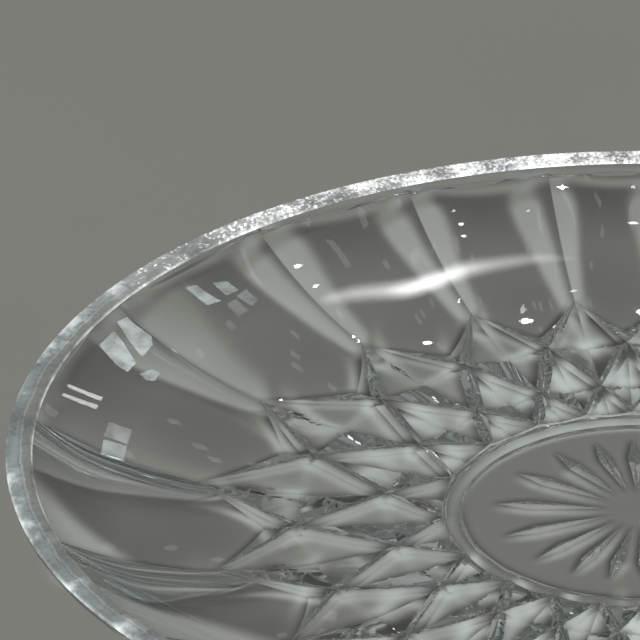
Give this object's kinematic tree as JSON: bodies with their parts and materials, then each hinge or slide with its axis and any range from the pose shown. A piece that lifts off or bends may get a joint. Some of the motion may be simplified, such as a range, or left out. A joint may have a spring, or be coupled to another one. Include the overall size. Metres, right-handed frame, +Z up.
{
  "type": "oval pressed-glass dish",
  "caption": "Shallow oval dish of clear pressed glass, smooth inside, with fluted walls, a band of mitre-cut diamonds, a star base and a low foot ring.",
  "frame": {"origin": "centre of the foot ring's resting plane", "axes": "+Z up out of the dish's mouth, +X along the long axis, +Y across the short axis"},
  "size_m": [0.13, 0.0936, 0.013],
  "materials": {
    "clear_glass": "clear, fire-polished inside, ground and polished flat rim"
  },
  "bodies": {
    "root": {"glass_dish": "clear_glass"}
  },
  "joints": []
}
